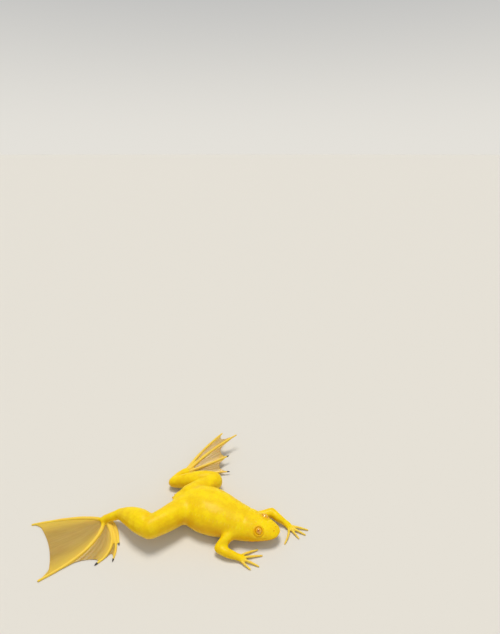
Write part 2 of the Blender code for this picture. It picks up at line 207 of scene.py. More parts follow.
def arc_points(start, heading, bend, length, heights, radii, steps, late=0.0):
    """Points of a digit that sets out at a heading in degrees and turns by bend along its length.

    It turns most near its root, or, for late at 1, most near its tip.
    """
    x, y = start
    points = []
    for i in range(steps):
        t = i / (steps - 1)
        z = heights[0] + (heights[1] - heights[0]) * (1 - (1 - t) ** 2)
        radius = radii[0] + (radii[1] - radii[0]) * t**DIGIT_TAPER
        points.append((x, y, z, radius, radius * DIGIT_FLATNESS))
        ahead = t + 0.5 / (steps - 1)
        turn = math.radians(heading + bend * ahead * ((2 - ahead) * (1 - late) + ahead * late))
        x += length / (steps - 1) * math.cos(turn)
        y += length / (steps - 1) * math.sin(turn)
    return points


FINGER_LENGTH = 13.5
FINGER_RADII = (1.05, 0.6)
FINGER_HEIGHTS = (1.7, 0.6)
FINGER_STEPS = 5
FINGER_ARCH = 0.5
HANDS = {
    "right": {
        "palm": [(65.8, -27.5, 2.8, 2.7, 2.3), (68.4, -27.0, 2.3, 3.0, 1.9), (70.6, -26.6, 1.7, 2.3, 1.4)],
        "fingers": [
            ((67.8, -24.2), 54.0, -12.0, 1.0),
            ((70.4, -25.2), 34.0, -4.0, 1.0),
            ((71.6, -27.2), 0.0, -4.0, 0.82),
            ((70.0, -29.2), -28.0, 10.0, 0.62),
        ],
    },
    "left": {
        "palm": [(89.6, 16.1, 3.0, 2.7, 2.3), (92.4, 15.2, 2.4, 3.0, 1.9), (94.6, 14.6, 1.8, 2.3, 1.4)],
        "fingers": [
            ((94.0, 12.2), -66.0, -30.0, 1.05),
            ((95.8, 12.8), -38.0, 4.0, 0.72),
            ((96.4, 14.0), -10.0, 2.0, 0.85),
            ((95.8, 15.8), 12.0, -6.0, 0.95),
        ],
    },
}
TOE_LENGTHS = {"1": 23.0, "2": 36.0, "3": 40.0, "4": 63.0, "5": 58.0}
TOE_RADII = {"1": 1.25, "2": 1.4, "3": 1.6, "4": 1.75, "5": 1.75}
TOE_TIP_SHARE = 0.5
TOE_STEPS = 9
CLAWED_TOES = ("1", "2", "3")
FEET = {
    "right": {
        "ankle": [
            (-36.6, -30.0, 10.2, 4.4, 4.3),
            (-44.0, -32.2, 6.6, 3.8, 3.4),
            (-51.0, -34.2, 3.2, 4.2, 2.5),
        ],
        "toes": {
            "5": ((-51.5, -34.4), -176.0, 30.0, 0.0, (2.6, 0.6)),
            "4": ((-49.5, -35.6), -60.0, -60.0, 0.0, (2.6, 0.6)),
            "3": ((-46.8, -35.2), -32.0, -86.0, 0.9, (2.6, 0.6)),
            "2": ((-45.6, -34.2), -33.0, -40.0, 0.9, (2.4, 0.5)),
            "1": ((-44.6, -33.0), -14.0, -36.0, 0.0, (2.4, 0.4)),
        },
    },
    "left": {
        "ankle": [(-17.8, 21.8, 5.6, 4.4, 4.3), (-16.8, 31.0, 5.6, 3.9, 3.4), (-14.0, 39.0, 5.2, 4.4, 2.6)],
        "toes": {
            "5": ((-14.6, 39.0), 82.0, -6.0, 0.0, (5.0, 12.5)),
            "4": ((-13.0, 39.6), 70.0, -6.0, 0.0, (5.0, 13.5)),
            "3": ((-12.0, 39.4), 44.0, 14.0, 0.9, (4.8, 7.5)),
            "2": ((-11.4, 38.6), 24.0, 4.0, 0.0, (4.2, 3.0)),
            "1": ((-11.0, 37.6), 12.0, 4.0, 0.0, (3.6, 1.4)),
        },
    },
}
KNUCKLES = (0.34, 0.62, 0.84)
KNUCKLE_SWELL = 0.08
KNUCKLE_LENGTH = 0.045
DIGIT_WAIST = 0.94


def finger_points(finger):
    start, heading, bend, share = finger
    length = FINGER_LENGTH * share
    return arc_points(start, heading, bend, length, FINGER_HEIGHTS, FINGER_RADII, FINGER_STEPS)


def toe_points(side, number):
    start, heading, bend, late, heights = FEET[side]["toes"][number]
    root = TOE_RADII[number]
    radii = (root, root * TOE_TIP_SHARE)
    return arc_points(start, heading, bend, TOE_LENGTHS[number], heights, radii, TOE_STEPS, late)


def knuckled(points, count):
    """A digit's points, refined, with a slight swelling at each joint."""
    fine = curve_through(points, count)
    t = np.linspace(0, 1, count)
    swell = sum(np.exp(-(((t - k) / KNUCKLE_LENGTH) ** 2)) for k in KNUCKLES)
    waist = DIGIT_WAIST + KNUCKLE_SWELL * swell
    fine[:, 3] *= waist
    fine[:, 4] *= waist
    return fine


def hand_pieces(side):
    plan = HANDS[side]
    pieces = [tube("palm", plan["palm"], 12)]
    for finger in plan["fingers"]:
        fine = knuckled(finger_points(finger), 40)
        fine[:, 2] += FINGER_ARCH * np.sin(math.pi * np.linspace(0, 1, 40))
        pieces.append(tube("finger", fine, 40, 16))
    return pieces


def foot_pieces(side):
    pieces = [tube("ankle", FEET[side]["ankle"], 16)]
    for number in TOE_LENGTHS:
        pieces.append(tube("toe", knuckled(toe_points(side, number), 80), 80, 16))
    return pieces


# One skin over all the flesh
FLESH_NODES = ["torso", "head"]
for side in ("left", "right"):
    FLESH_NODES += [f"{part}_{side}" for part in ("thigh", "shank", "upper_arm", "forearm")]
VOXEL = 0.38
BRIDGE = 0.22
TRUNK_VOXEL, TRUNK_BRIDGE, TRUNK_STEPS = 0.8, 3.0, 4
LEG_VOXEL = 0.5
ARM_VOXEL, ARM_BRIDGE = 0.42, 1.4
LIMB_STEPS = 3
SKIN_TRIANGLES = 190000
# Where pieces of flesh meet, and the skin is smoothed: the middle, the reach and the strength
JOINTS = [
    ((61.3, -1.6, 10.0), 17.0, 1.0),
    ((3.5, -17.0, 14.0), 13.0, 1.0),
    ((8.5, 15.0, 11.0), 12.0, 1.0),
    ((-3.6, -38.0, 15.2), 11.0, 1.0),
    ((17.8, 33.8, 8.2), 9.5, 1.0),
    ((-36.8, -30.2, 10.2), 7.0, 1.0),
    ((-17.6, 21.8, 5.6), 7.0, 1.0),
    ((53.0, -17.0, 8.0), 7.5, 1.0),
    ((64.0, 12.6, 5.8), 7.5, 1.0),
    ((50.0, -27.3, 5.2), 5.5, 1.0),
    ((77.4, 19.5, 6.3), 5.0, 1.0),
    ((65.6, -27.5, 2.9), 4.6, 1.0),
    ((89.4, 16.1, 3.1), 4.6, 1.0),
    ((-49.5, -34.4, 3.2), 6.0, 0.6),
    ((-13.6, 39.0, 5.2), 6.0, 0.6),
    ((70.5, -26.6, 1.9), 3.4, 0.5),
    ((94.6, 14.4, 1.9), 3.4, 0.5),
]


def vertex_places(obj):
    """The piece's vertices in the frog's own measure."""
    flat = np.empty(len(obj.data.vertices) * 3)
    obj.data.vertices.foreach_get("co", flat)
    return flat.reshape(-1, 3) / MM + np.array(SHIFT)


def move_vertices(obj, places):
    places = places.copy()
    places[:, 2] = np.maximum(places[:, 2], 0.0)
    obj.data.vertices.foreach_set("co", ((places - np.array(SHIFT)) * MM).ravel())
    obj.data.update()


def vertex_normals(obj):
    flat = np.empty(len(obj.data.vertices) * 3)
    obj.data.vertices.foreach_get("normal", flat)
    return flat.reshape(-1, 3)


def bump(distance, width):
    return np.exp(-((distance / width) ** 2))


def weight_group(obj, name, weights):
    group = obj.vertex_groups.new(name=name)
    steps = np.round(np.clip(weights, 0, 1) * 20).astype(int)
    for step in range(1, 21):
        chosen = np.nonzero(steps == step)[0].tolist()
        if chosen:
            group.add(chosen, step / 20, "REPLACE")
    return group


def join(pieces, name):
    deselect()
    for piece in pieces:
        piece.select_set(True)
    bpy.context.view_layer.objects.active = pieces[0]
    bpy.ops.object.join()
    pieces[0].name = name
    return pieces[0]


def remesh(body, voxel):
    apply_modifier(body, "REMESH", mode="VOXEL", voxel_size=voxel * MM, use_smooth_shade=True)


def fuse(pieces, name, bridge, voxel, steps=1):
    """Pieces of flesh swollen by bridge, fused and let back in steps.

    This fills the creases where they meet.
    """
    body = join(pieces, name)
    apply_modifier(body, "DISPLACE", strength=bridge * MM, mid_level=0.0)
    remesh(body, voxel)
    for step in range(steps):
        if step > 0:
            remesh(body, voxel)
        if steps > 1:
            apply_modifier(body, "SMOOTH", factor=0.5, iterations=2)
        apply_modifier(body, "DISPLACE", strength=-bridge / steps * MM, mid_level=0.0)
    return body


STUB_SHARE = 0.6
STUB_DRAWN_IN = 1.5


def stub(node, root, end):
    """The near part of a limb, cut square.

    Towards the cut it is drawn in, so that the whole limb hides it.
    """
    limb = copy_of_node(node)
    root, end = Vector(root), Vector(end)
    cut = root.lerp(end, STUB_SHARE)
    bm = bmesh.new()
    bm.from_mesh(limb.data)
    geometry = bm.verts[:] + bm.edges[:] + bm.faces[:]
    bmesh.ops.bisect_plane(bm, geom=geometry, plane_co=at(*cut), plane_no=end - root, clear_outer=True)
    bmesh.ops.holes_fill(bm, edges=[edge for edge in bm.edges if edge.is_boundary])
    bmesh.ops.recalc_face_normals(bm, faces=bm.faces)
    bm.to_mesh(limb.data)
    bm.free()
    places, normals = vertex_places(limb), vertex_normals(limb)
    axis = np.array(end - root)
    along = (places - np.array(root)) @ axis / (axis @ axis)
    inward = np.clip((along - 0.25) / (STUB_SHARE - 0.25), 0, 1)
    places -= normals * (STUB_DRAWN_IN * inward)[:, None]
    move_vertices(limb, places)
    return limb


def rough_skin():
    """Everything of flesh in one skin. The hips and shoulders are fused with wide fillets first."""
    trunk = [
        copy_of_node("torso"),
        stub("thigh_left", (8.0, 6.0, 12.5), (17.8, 33.4, 7.9)),
        stub("thigh_right", (11.0, -8.0, 12.8), (-3.2, -37.4, 15.4)),
        stub("upper_arm_left", (60.0, 9.2, 5.6), (77.2, 19.5, 6.3)),
        stub("upper_arm_right", (56.0, -11.5, 10.0), (49.9, -27.2, 5.2)),
    ]
    trunk += [
        lump("rump", (4.0, -1.0, 14.0), (7.5, 9.0, 4.6)),
        lump("hip_left", (11.0, 13.0, 11.0), (9.0, 7.0, 8.0), 60),
        lump("hip_right", (9.0, -14.0, 13.5), (9.0, 8.0, 8.5), -70),
        lump("shoulder_left", (59.5, 10.4, 6.4), (6.6, 4.0, 4.2), 25),
        lump("shoulder_right", (55.5, -14.8, 8.6), (6.5, 4.6, 5.0), 15),
        lump("jowl_left", (61.5, 9.0, 6.8), (6.0, 3.4, 4.2)),
        lump("jowl_right", (61.5, -12.4, 6.8), (6.0, 3.4, 4.2)),
    ]
    trunk = fuse(trunk, "trunk", TRUNK_BRIDGE, TRUNK_VOXEL, TRUNK_STEPS)
    apply_modifier(trunk, "SMOOTH", factor=0.5, iterations=12)
    pieces = [trunk, copy_of_node("head")]
    for side, crease in (("left", 0.5), ("right", 1.6)):
        leg = [copy_of_node(f"thigh_{side}"), copy_of_node(f"shank_{side}")]
        arm = [copy_of_node(f"upper_arm_{side}"), copy_of_node(f"forearm_{side}")]
        pieces.append(fuse(leg, f"leg_{side}", crease, LEG_VOXEL, LIMB_STEPS))
        pieces.append(fuse(arm, f"arm_{side}", ARM_BRIDGE, ARM_VOXEL, LIMB_STEPS))
        pieces += hand_pieces(side) + foot_pieces(side)
    pieces += [
        lump("lobe_left", (-3.1, 1.4, 13.2), (1.7, 1.0, 1.4), -20),
        lump("lobe_right", (-3.1, -1.6, 13.2), (1.7, 1.0, 1.4), 20),
        lump("lobe_low", (-2.8, -0.1, 11.2), (1.7, 1.5, 1.0)),
    ]
    return fuse(pieces, "skin", BRIDGE, VOXEL)


def near_joints(places):
    weight = np.zeros(len(places))
    for centre, reach, most in JOINTS:
        distance = np.linalg.norm(places - np.array(centre), axis=1)
        share = np.clip(1.35 - distance / reach, 0, 1)
        weight = np.maximum(weight, most * share * share * (3 - 2 * share))
    return weight


def near_digits(places):
    """1 on fingers and toes, where smoothing would wear the flesh away."""
    x, y, z = places.T
    near = np.zeros(len(places))
    for side in ("left", "right"):
        for number in TOE_LENGTHS:
            for px, py, pz, *_ in curve_through(toe_points(side, number), 16)[2:]:
                near = np.maximum(near, np.abs(x - px) + np.abs(y - py) + np.abs(z - pz) < 6.0)
        for finger in HANDS[side]["fingers"]:
            for px, py, pz, *_ in finger_points(finger)[1:]:
                near = np.maximum(near, np.abs(x - px) + np.abs(y - py) + np.abs(z - pz) < 5.0)
    return near


def smooth_skin(body):
    places = vertex_places(body)
    digits = near_digits(places)
    weight_group(body, "joints", near_joints(places) * (1 - digits))
    weight_group(body, "flesh", 1 - 0.85 * digits)
    apply_modifier(body, "SMOOTH", factor=0.5, iterations=80, vertex_group="joints")
    apply_modifier(body, "SMOOTH", factor=0.5, iterations=10, vertex_group="flesh")


# Details of the head: rims round the eyes, nostrils and the line of the mouth
EYE_RADIUS = 3.0
LID_RIM = 3.45
NOSTRILS = [(86.2, -2.5), (86.2, 2.3)]
MOUTH_START, MOUTH_END = 69.0, 89.6
MOUTH_HEIGHTS = (5.9, 7.5)
CHEEK_HALF = 13.2


def mouth_height(x):
    """The height of the mouth's line at x. It curls up a little at its corner."""
    share = (x - MOUTH_START) / (MOUTH_END - MOUTH_START)
    low, high = MOUTH_HEIGHTS
    return low + (high - low) * share + 0.9 * np.exp(-((share / 0.12) ** 2))


def eye_frame(side):
    centre = np.array(middle(f"eye_{side}") + SHIFT)
    look = np.array((EYE_LOOK.x, EYE_LOOK.y * (1 if side == "left" else -1), EYE_LOOK.z))
    return centre, look


def around_eye(places, side):
    """Each place's distance from the eye's line of sight, and its height along it."""
    centre, look = eye_frame(side)
    offset = places - centre
    height = offset @ look
    return np.linalg.norm(offset - height[:, None] * look, axis=1), height


LID_REACH = 0.7


def lid_gap(places, side):
    """How far the lids are drawn in towards the eyeball, so that only a fine line is left between them."""
    centre, look = eye_frame(side)
    offset = places - centre
    distance = np.linalg.norm(offset, axis=1)
    gap = np.clip(distance - EYE_RADIUS - 0.04, 0, LID_REACH)
    return offset * ((gap - gap * gap / LID_REACH) / distance)[:, None]


def nostril_distance(places):
    flat = [np.hypot(places[:, 0] - x, places[:, 1] - y) for x, y in NOSTRILS]
    return np.where(places[:, 2] > 8.8, np.minimum(*flat), 99.0)


def mouth_distance(places, normals):
    """Distance from the mouth's line, and a share that is 1 on the sides and front of the head.

    The share fades at the mouth's corner.
    """
    x, y, z = places.T
    on_head = (np.abs(y - bow_at(x)) < CHEEK_HALF) & (np.abs(normals[:, 2]) < 0.96)
    return np.abs(z - mouth_height(x)), on_head * np.clip((x - MOUTH_START) / 1.5, 0, 1)


# The flanks' rows of short, raised marks, like stitches, and those round the eyes
FLANK_X = (4.0, 10.0, 16.0, 24.0, 32.0, 40.0, 48.0, 55.0, 60.0, 66.0, 71.0)
FLANK_HALF = (9.0, 14.0, 17.8, 20.2, 20.6, 19.4, 17.4, 15.8, 14.9, 14.0, 13.0)
STITCH_GAP = 3.0
STITCH_SIZE = (0.26, 0.85)


def stitches(places, normals):
    """1 on each stitch mark, which lies across its row, falling to 0 round it."""
    x, y, z = places.T
    wide, long = STITCH_SIZE
    across = y - bow_at(x)
    half = np.interp(x, FLANK_X, FLANK_HALF)
    upper = normals[:, 2] > 0.05
    marks = np.zeros(len(places))
    for share, start, end in ((0.80, 14.0, 64.0), (0.52, 20.0, 60.0)):
        step = np.round((x - start) / STITCH_GAP)
        centre = start + step * STITCH_GAP
        inside = upper & (centre >= start) & (centre <= end)
        off = np.abs(across) - half * share - 0.4 * np.sin(centre * 1.7)
        marks = np.maximum(marks, inside * bump(x - centre, wide) * np.exp(-((off / long) ** 4)))
    for side in (1, -1):
        for k in range(9):
            angle = math.radians(20 + 36 * k)
            ex, ey = EYE_X + 6.6 * math.cos(angle), side * 7.4 + 6.6 * math.sin(angle) - 1.0
            if abs(ey) > 9.5 or ex > 83:
                continue
            dx, dy = x - ex, y - ey
            along = dx * math.cos(angle) + dy * math.sin(angle)
            aside = -dx * math.sin(angle) + dy * math.cos(angle)
            marks = np.maximum(marks, upper * bump(aside, wide) * np.exp(-((along / long) ** 4)))
    return marks


# Where the skin wrinkles: the middle, the reach, the way the wrinkles follow each other, and their spacing
WRINKLES = [
    ((14.0, -19.0, 9.0), 7.0, (0.45, -0.85, 0.1), 2.1),
    ((12.0, 17.0, 14.0), 6.0, (0.2, 0.95, -0.1), 2.2),
    ((-8.5, -31.0, 14.0), 4.5, (-0.8, 0.5, 0.2), 1.7),
    ((9.0, 26.0, 12.0), 4.5, (0.7, 0.6, 0.2), 1.7),
    ((60.0, -13.0, 8.0), 4.5, (0.7, -0.6, 0.3), 1.5),
    ((52.5, -13.5, 9.0), 4.5, (-0.8, -0.5, 0.2), 1.5),
    ((67.5, 13.6, 7.4), 4.0, (0.6, 0.7, 0.2), 1.5),
    ((51.5, -24.5, 7.5), 3.2, (-0.2, -0.9, -0.2), 1.2),
    ((-36.5, -30.0, 13.0), 4.0, (-1.0, -0.2, 0.0), 1.4),
]


def wrinkles(places):
    depth = np.zeros(len(places))
    for centre, reach, way, gap in WRINKLES:
        offset = places - np.array(centre)
        way = np.array(way) / np.linalg.norm(way)
        along = offset @ way + 0.35 * np.sin(offset.sum(axis=1) * 0.9)
        folds = np.abs(np.sin(math.pi * along / gap)) ** 0.7 - 0.6
        depth += bump(np.linalg.norm(offset, axis=1), reach * 0.6) * folds
    return depth


def refine(body):
    """Splits the faces round the eyes, nostrils and mouth, so that they can hold finer forms."""
    bm = bmesh.new()
    bm.from_mesh(body.data)
    places = vertex_places(body)
    normals = vertex_normals(body)
    distance, inside = mouth_distance(places, normals)
    wanted = (distance < 1.3) & (inside > 0)
    wanted |= nostril_distance(places) < 1.8
    wanted |= stitches(places, normals) > 0.02
    for side in ("left", "right"):
        radial, height = around_eye(places, side)
        wanted |= (radial < 5.4) & (radial > 2.4) & (height > -0.5)
    bm.verts.ensure_lookup_table()
    edges = [e for e in bm.edges if wanted[e.verts[0].index] and wanted[e.verts[1].index]]
    bmesh.ops.subdivide_edges(bm, edges=edges, cuts=1, use_grid_fill=True)
    bmesh.ops.triangulate(bm, faces=[f for f in bm.faces if len(f.verts) > 4])
    bm.to_mesh(body.data)
    bm.free()


def shared(body, values, rounds):
    """Values on the vertices, evened out with their neighbours' a number of times."""
    edges = np.empty(len(body.data.edges) * 2, int)
    body.data.edges.foreach_get("vertices", edges)
    one, two = edges.reshape(-1, 2).T
    count = np.bincount(edges, minlength=len(values))[:, None]
    for _ in range(rounds):
        total = np.empty_like(values)
        for k in range(values.shape[1]):
            total[:, k] = np.bincount(one, values[two, k], len(values))
            total[:, k] += np.bincount(two, values[one, k], len(values))
        values = (values + total / count) / 2
    return values


NEAR_ELBOW = (49.9, -26.0, 5.6)
ELBOW_REACH = 8.0
ELBOW_THINNER = 0.6


def sculpt(body):
    places = vertex_places(body)
    normals = vertex_normals(body)
    x, y, z = places.T
    move = np.zeros(len(places))

    for side in ("left", "right"):
        radial, height = around_eye(places, side)
        near = np.clip((height + 0.6) / 0.8, 0, 1) * (radial > 2.2)
        move += near * 0.42 * bump(radial - LID_RIM, 0.55)
        move -= near * 0.22 * bump(radial - 4.75, 0.5)

    nostril = nostril_distance(places)
    move += 0.14 * bump(nostril - 0.9, 0.4) - 0.7 * bump(nostril, 0.4)

    distance, inside = mouth_distance(places, normals)
    move -= inside * 0.5 * bump(distance, 0.34)
    above = z > mouth_height(x)
    move += inside * np.where(above, 0.2, 0.12) * bump(distance - 0.95, 0.5)

    move += 0.08 * stitches(places, normals) + 0.5 * wrinkles(places)
    move -= ELBOW_THINNER * bump(np.linalg.norm(places - np.array(NEAR_ELBOW), axis=1), ELBOW_REACH)

    # The back: a shallow furrow along the spine and the two low ridges of the hip bones
    across = y - bow_at(x)
    upper = np.clip(normals[:, 2], 0, 1)
    trunk = (np.abs(across) < 16) & (x > 2) & (x < 66)
    along = np.clip((x - 8) / 8, 0, 1) * np.clip((62 - x) / 10, 0, 1)
    move -= trunk * upper * along * 0.16 * bump(across, 1.8)
    hip = np.clip((x - 4) / 6, 0, 1) * np.clip((36 - x) / 8, 0, 1)
    move += trunk * upper * hip * 0.20 * bump(np.abs(across) - (3.6 + 0.09 * x), 2.2)

    # Slack, uneven skin
    wave = np.array([
        noise.noise(Vector((a * 0.16, b * 0.16, c * 0.22)))
        + 0.4 * noise.noise(Vector((a * 0.5, b * 0.5, c * 0.5)))
        for a, b, c in places
    ])
    move += 0.10 * wave * (1 - near_digits(places))
    places += normals * move[:, None]
    for side in ("left", "right"):
        places -= lid_gap(places, side)
    move_vertices(body, places)


def set_value(body, name, values):
    attribute = body.data.attributes.new(name, "FLOAT", "POINT")
    attribute.data.foreach_set("value", np.clip(values, 0, 1).astype(np.float32))


def paint(body):
    """Where the skin is paler, where it is more orange, and painted shade on the flanks, along the mouth's
    groove and in the creases where it folds, kept as values on the skin.
    """
    places = vertex_places(body)
    normals = vertex_normals(body)
    x, y, z = places.T
    even = shared(body, places, 17)
    hollow = ((even - places) * normals).sum(axis=1)
    digits = near_digits(places)[:, None].astype(float)
    digits = shared(body, digits, 60)[:, 0]
    under = np.clip(-normals[:, 2] * 1.3 + 0.1, 0, 1)
    set_value(body, "pale", np.maximum(0.75 * digits, under))
    set_value(body, "stitch", stitches(places, normals))
    # Painted shade: the deeper the skin lies below its neighbours, in creases and where parts meet, the
    # darker it is painted
    set_value(body, "crease_shade", shared(body, (hollow / 0.22 * (1 - 0.8 * digits))[:, None], 4)[:, 0])

    orange_tint_and_shade = np.zeros(len(places))
    for side in ("left", "right"):
        radial, height = around_eye(places, side)
        orange_tint_and_shade = np.maximum(orange_tint_and_shade, (height > -2) * 0.55 * bump(radial - 3.4, 0.7))
    # Painted shade along the mouth's groove, darkest on its line
    distance, inside = mouth_distance(places, normals)
    orange_tint_and_shade = np.maximum(orange_tint_and_shade, inside * bump(distance, 0.9))
    orange_tint_and_shade = np.maximum(orange_tint_and_shade, 0.9 * bump(np.hypot(x + 4.0, z - 12.6), 2.4) * bump(y, 3.0))
    # Painted shade: skin that faces sideways, mostly the flanks, is painted more orange, as if turned away
    # from the light above
    sideways = np.clip(1 - np.abs(normals[:, 2]) * 1.3, 0, 1)
    trunk = (x > 0) * (x < 90) * (np.abs(y) < 26)
    orange_tint_and_shade = np.maximum(orange_tint_and_shade, np.where(trunk, 0.5, 0.25) * sideways * (1 - digits))
    set_value(body, "orange_tint_and_shade", shared(body, orange_tint_and_shade[:, None], 3)[:, 0])


body = rough_skin()
smooth_skin(body)
refine(body)
weight_group(body, "fine", shared(body, (1.0 - near_digits(vertex_places(body)))[:, None], 1)[:, 0])
apply_modifier(body, "SMOOTH", factor=0.5, iterations=3, vertex_group="fine")
sculpt(body)
paint(body)
body.vertex_groups.clear()
triangles = sum(len(face.vertices) - 2 for face in body.data.polygons)
apply_modifier(body, "DECIMATE", ratio=min(1.0, SKIN_TRIANGLES / triangles))
# Thinning can leave a vertex just under the floor: moving them all to where they are lifts it back
move_vertices(body, vertex_places(body))
for name in FLESH_NODES + ["hand_left", "hand_right", "foot_left", "foot_right"]:
    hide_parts(name)
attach(body, "root")


# Webs: thin sheets between the toes, rooted in them. Each row holds the two toes, and the share of each
# toe's length that the web reaches between them. Beside each toe it runs on as a fringe, almost to the tip.
WEBS = (("1", "2", 0.86, 0.66), ("2", "3", 0.90, 0.84), ("3", "4", 0.92, 0.70), ("4", "5", 0.90, 0.92))
WEB_START = 0.03
FRINGE_REACH, FRINGE_WIDTH = 0.965, 2.6
WEB_ROWS, WEB_COLUMNS = 64, 40
WEB_SAG, WEB_NOTCH = 0.25, 0.07
WEB_PLEATS = 5


def web_place(first, second, s, t, hang):
    count = len(first) - 1
    place = (1 - s) * first[round(t * count)] + s * second[round(t * count)]
    pleat = 0.22 * math.sin(2 * math.pi * WEB_PLEATS * s + 2.0 * t) * hang * t
    wave = 0.16 * math.sin(9.0 * t + 5.0 * s) * hang * t
    place[2] = max(place[2] - WEB_SAG * hang + pleat + wave, 0.2)
    return place


def make_web(side):
    """All of one foot's webs as one piece. Its map runs across the web and from root to free edge."""
    bm = bmesh.new()
    uv = bm.loops.layers.uv.new("UVMap")
    for one, two, reach_one, reach_two in WEBS:
        first = curve_through(toe_points(side, one), 600)[:, :3]
        second = curve_through(toe_points(side, two), 600)[:, :3]
        span = np.linalg.norm(first[round(reach_one * 599)] - second[round(reach_two * 599)])
        rows = []
        for i in range(WEB_ROWS + 1):
            row = []
            for j in range(WEB_COLUMNS + 1):
                s = (1 - math.cos(math.pi * j / WEB_COLUMNS)) / 2
                hang = 4 * s * (1 - s)
                reach = reach_one + (reach_two - reach_one) * s - WEB_NOTCH * hang
                reach += (FRINGE_REACH - reach_one) * math.exp(-((s * span / FRINGE_WIDTH) ** 2))
                reach += (FRINGE_REACH - reach_two) * math.exp(-(((1 - s) * span / FRINGE_WIDTH) ** 2))
                t = WEB_START + (reach - WEB_START) * i / WEB_ROWS
                place = web_place(first, second, s, t, hang)
                row.append((bm.verts.new(at(*place)), (s, i / WEB_ROWS)))
            rows.append(row)
        for a, b in zip(rows, rows[1:]):
            for j in range(WEB_COLUMNS):
                corners = (a[j], a[j + 1], b[j + 1], b[j])
                face = bm.faces.new([corner[0] for corner in corners])
                face.smooth = True
                for loop, corner in zip(face.loops, corners):
                    loop[uv].uv = corner[1]
    web = object_from(bm, f"web_{side}")
    apply_modifier(web, "SMOOTH", factor=0.5, iterations=3)
    apply_modifier(web, "SOLIDIFY", thickness=0.3 * MM, offset=0.0)
    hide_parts(f"foot_{side}")
    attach(web, "root")
    return web


webs = [make_web(side) for side in ("left", "right")]


# Eyes
def make_eye(side):
    centre, look = eye_frame(side)
    deselect()
    bpy.ops.mesh.primitive_uv_sphere_add(segments=64, ring_count=48, radius=EYE_RADIUS * MM)
    eye = bpy.context.object
    eye.name = f"eyeball_{side}"
    turn = Vector(look).to_track_quat("Z", "Y").to_matrix()
    gaze = eye.data.attributes.new("gaze", "FLOAT", "POINT")
    for vert, value in zip(eye.data.vertices, gaze.data):
        flat = math.hypot(vert.co.x, vert.co.y) / MM
        value.value = min(flat / EYE_RADIUS, 1.0) if vert.co.z > 0 else 1.0
        cornea = 0.22 * math.exp(-((flat / 1.9) ** 4)) if vert.co.z > 0 else 0.0
        vert.co = turn @ (vert.co * (1 + cornea / EYE_RADIUS)) + at(*centre)
    for face in eye.data.polygons:
        face.use_smooth = True
    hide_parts(f"eye_{side}")
    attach(eye, "root")
    return eye


eyes = [make_eye(side) for side in ("left", "right")]


# Claws
def make_claw(side, number):
    node = f"claw_{side}_{number}"
    claw = copy_of_node(node)
    claw.name = f"horn_{side}_{number}"
    apply_modifier(claw, "SUBSURF", levels=2, render_levels=2)
    for face in claw.data.polygons:
        face.use_smooth = True
    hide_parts(node)
    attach(claw, "root")
    return claw


claws = [make_claw(side, number) for side in ("left", "right") for number in CLAWED_TOES]


# Materials


def linear(code):
    """An sRGB hex colour as linear light."""
    values = [int(code[i : i + 2], 16) / 255 for i in (0, 2, 4)]
    return (*((v / 12.92 if v <= 0.04045 else ((v + 0.055) / 1.055) ** 2.4) for v in values), 1.0)


def add_node(tree, kind, settings=None, **sockets):
    """Adds a node with its settings. Each socket, named or numbered as in_0, is given a value or a link."""
    made = tree.nodes.new(kind)
    for name, value in (settings or {}).items():
        setattr(made, name, value)
    for name, value in sockets.items():
        socket = made.inputs[int(name[3:]) if name.startswith("in_") else name.replace("_", " ")]
        if isinstance(value, bpy.types.NodeSocket):
            tree.links.new(value, socket)
        else:
            socket.default_value = value
    return made


def new_material(name, roughness, ior):
    made = bpy.data.materials.new(name)
    made.use_nodes = True
    tree = made.node_tree
    shader = tree.nodes["Principled BSDF"]
    shader.inputs["Roughness"].default_value = roughness
    shader.inputs["IOR"].default_value = ior
    return made, tree, shader


def mix_colours(tree, share, one, two):
    """Two colours mixed by a share. A colour is a hex value or an output."""
    one, two = (linear(c) if isinstance(c, str) else c for c in (one, two))
    return add_node(tree, "ShaderNodeMix", {"data_type": "RGBA"}, in_0=share, in_6=one, in_7=two).outputs[2]


def value_of(tree, name):
    return add_node(tree, "ShaderNodeAttribute", {"attribute_name": name}).outputs["Fac"]


def spread(tree, value, low, high, to_low=0.0, to_high=1.0):
    """A value's range from low to high, stretched to another range."""
    settings = {"interpolation_type": "SMOOTHSTEP"}
    made = add_node(tree, "ShaderNodeMapRange", settings, Value=value)
    for name, number in (("From Min", low), ("From Max", high), ("To Min", to_low), ("To Max", to_high)):
        made.inputs[name].default_value = number
    return made.outputs["Result"]


